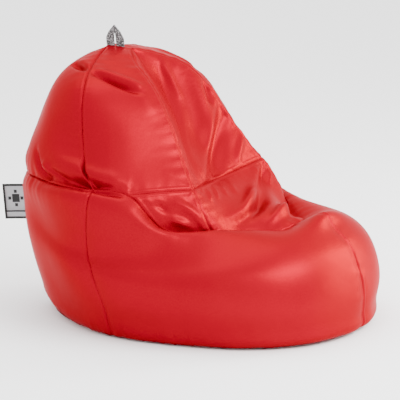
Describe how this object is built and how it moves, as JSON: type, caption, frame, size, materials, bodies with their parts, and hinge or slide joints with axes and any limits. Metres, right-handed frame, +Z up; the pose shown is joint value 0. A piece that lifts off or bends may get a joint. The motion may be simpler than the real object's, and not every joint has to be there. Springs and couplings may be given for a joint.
{
  "type": "bean bag chair",
  "caption": "Low lounge bean bag seat with a leaning rounded backrest, a padded ring around the seat hollow, a hanging loop at the crown and a side label.",
  "frame": {"origin": "on the floor, under the centre of the bag's footprint", "axes": "+Z up; the sitter faces -Y and the backrest is at +Y; +X is to the sitter's left"},
  "size_m": [0.8441, 1.0783, 0.8002],
  "materials": {
    "cover_leatherette": "satin",
    "liner_cloth": "matte",
    "bead_fill": "matte",
    "zip_tape": "matte",
    "zip_teeth": "satin",
    "zip_metal": "satin",
    "loop_webbing": "matte",
    "label_weave": "matte"
  },
  "bodies": {
    "bag": {"base_front": "cover_leatherette", "base_rear": "cover_leatherette", "belt_side_left": "cover_leatherette", "belt_side_right": "cover_leatherette", "belt_rear_left": "cover_leatherette", "belt_rear_right": "cover_leatherette", "seat_panel": "cover_leatherette", "inner_arm_left": "cover_leatherette", "inner_arm_right": "cover_leatherette", "backrest_panel": "cover_leatherette", "upper_side_left": "cover_leatherette", "upper_side_right": "cover_leatherette", "upper_rear_left": "cover_leatherette", "upper_rear_right": "cover_leatherette", "inner_liner": "liner_cloth", "bead_filling": "bead_fill", "zip_tape_front": "zip_tape", "zip_tape_rear": "zip_tape", "zip_teeth_front": "zip_teeth", "zip_teeth_rear": "zip_teeth", "zip_stop_left": "zip_metal", "zip_stop_right": "zip_metal", "liner_zip_tape_front": "zip_tape", "liner_zip_tape_rear": "zip_tape", "liner_zip_teeth_front": "zip_teeth", "liner_zip_teeth_rear": "zip_teeth", "liner_zip_stop_left": "zip_metal", "liner_zip_stop_right": "zip_metal"},
    "zip_runner": {"zip_slider": "zip_metal"},
    "liner_zip_runner": {"liner_zip_slider": "zip_metal"},
    "loop": {"grab_loop": "loop_webbing"},
    "label": {"side_label": "label_weave"}
  },
  "joints": [
    {"name": "zip_slide", "type": "slide", "parent": "bag", "child": "zip_runner", "axis": [1, 0, 0], "range_m": [0, 0.567]},
    {"name": "liner_zip_slide", "type": "slide", "parent": "bag", "child": "liner_zip_runner", "axis": [1, 0, 0], "range_m": [0, 0.367]},
    {"name": "loop_flop", "type": "hinge", "parent": "bag", "child": "loop", "pos_m": [0, 0.238, 0.7432], "axis": [0, 1, 0], "range_deg": [-75, 75], "stiffness_Nm_per_rad": 0.002},
    {"name": "label_fold", "type": "hinge", "parent": "bag", "child": "label", "pos_m": [0, 0.4902, 0.272], "axis": [0, 0, 1], "range_deg": [-80, 80], "stiffness_Nm_per_rad": 0.002}
  ]
}
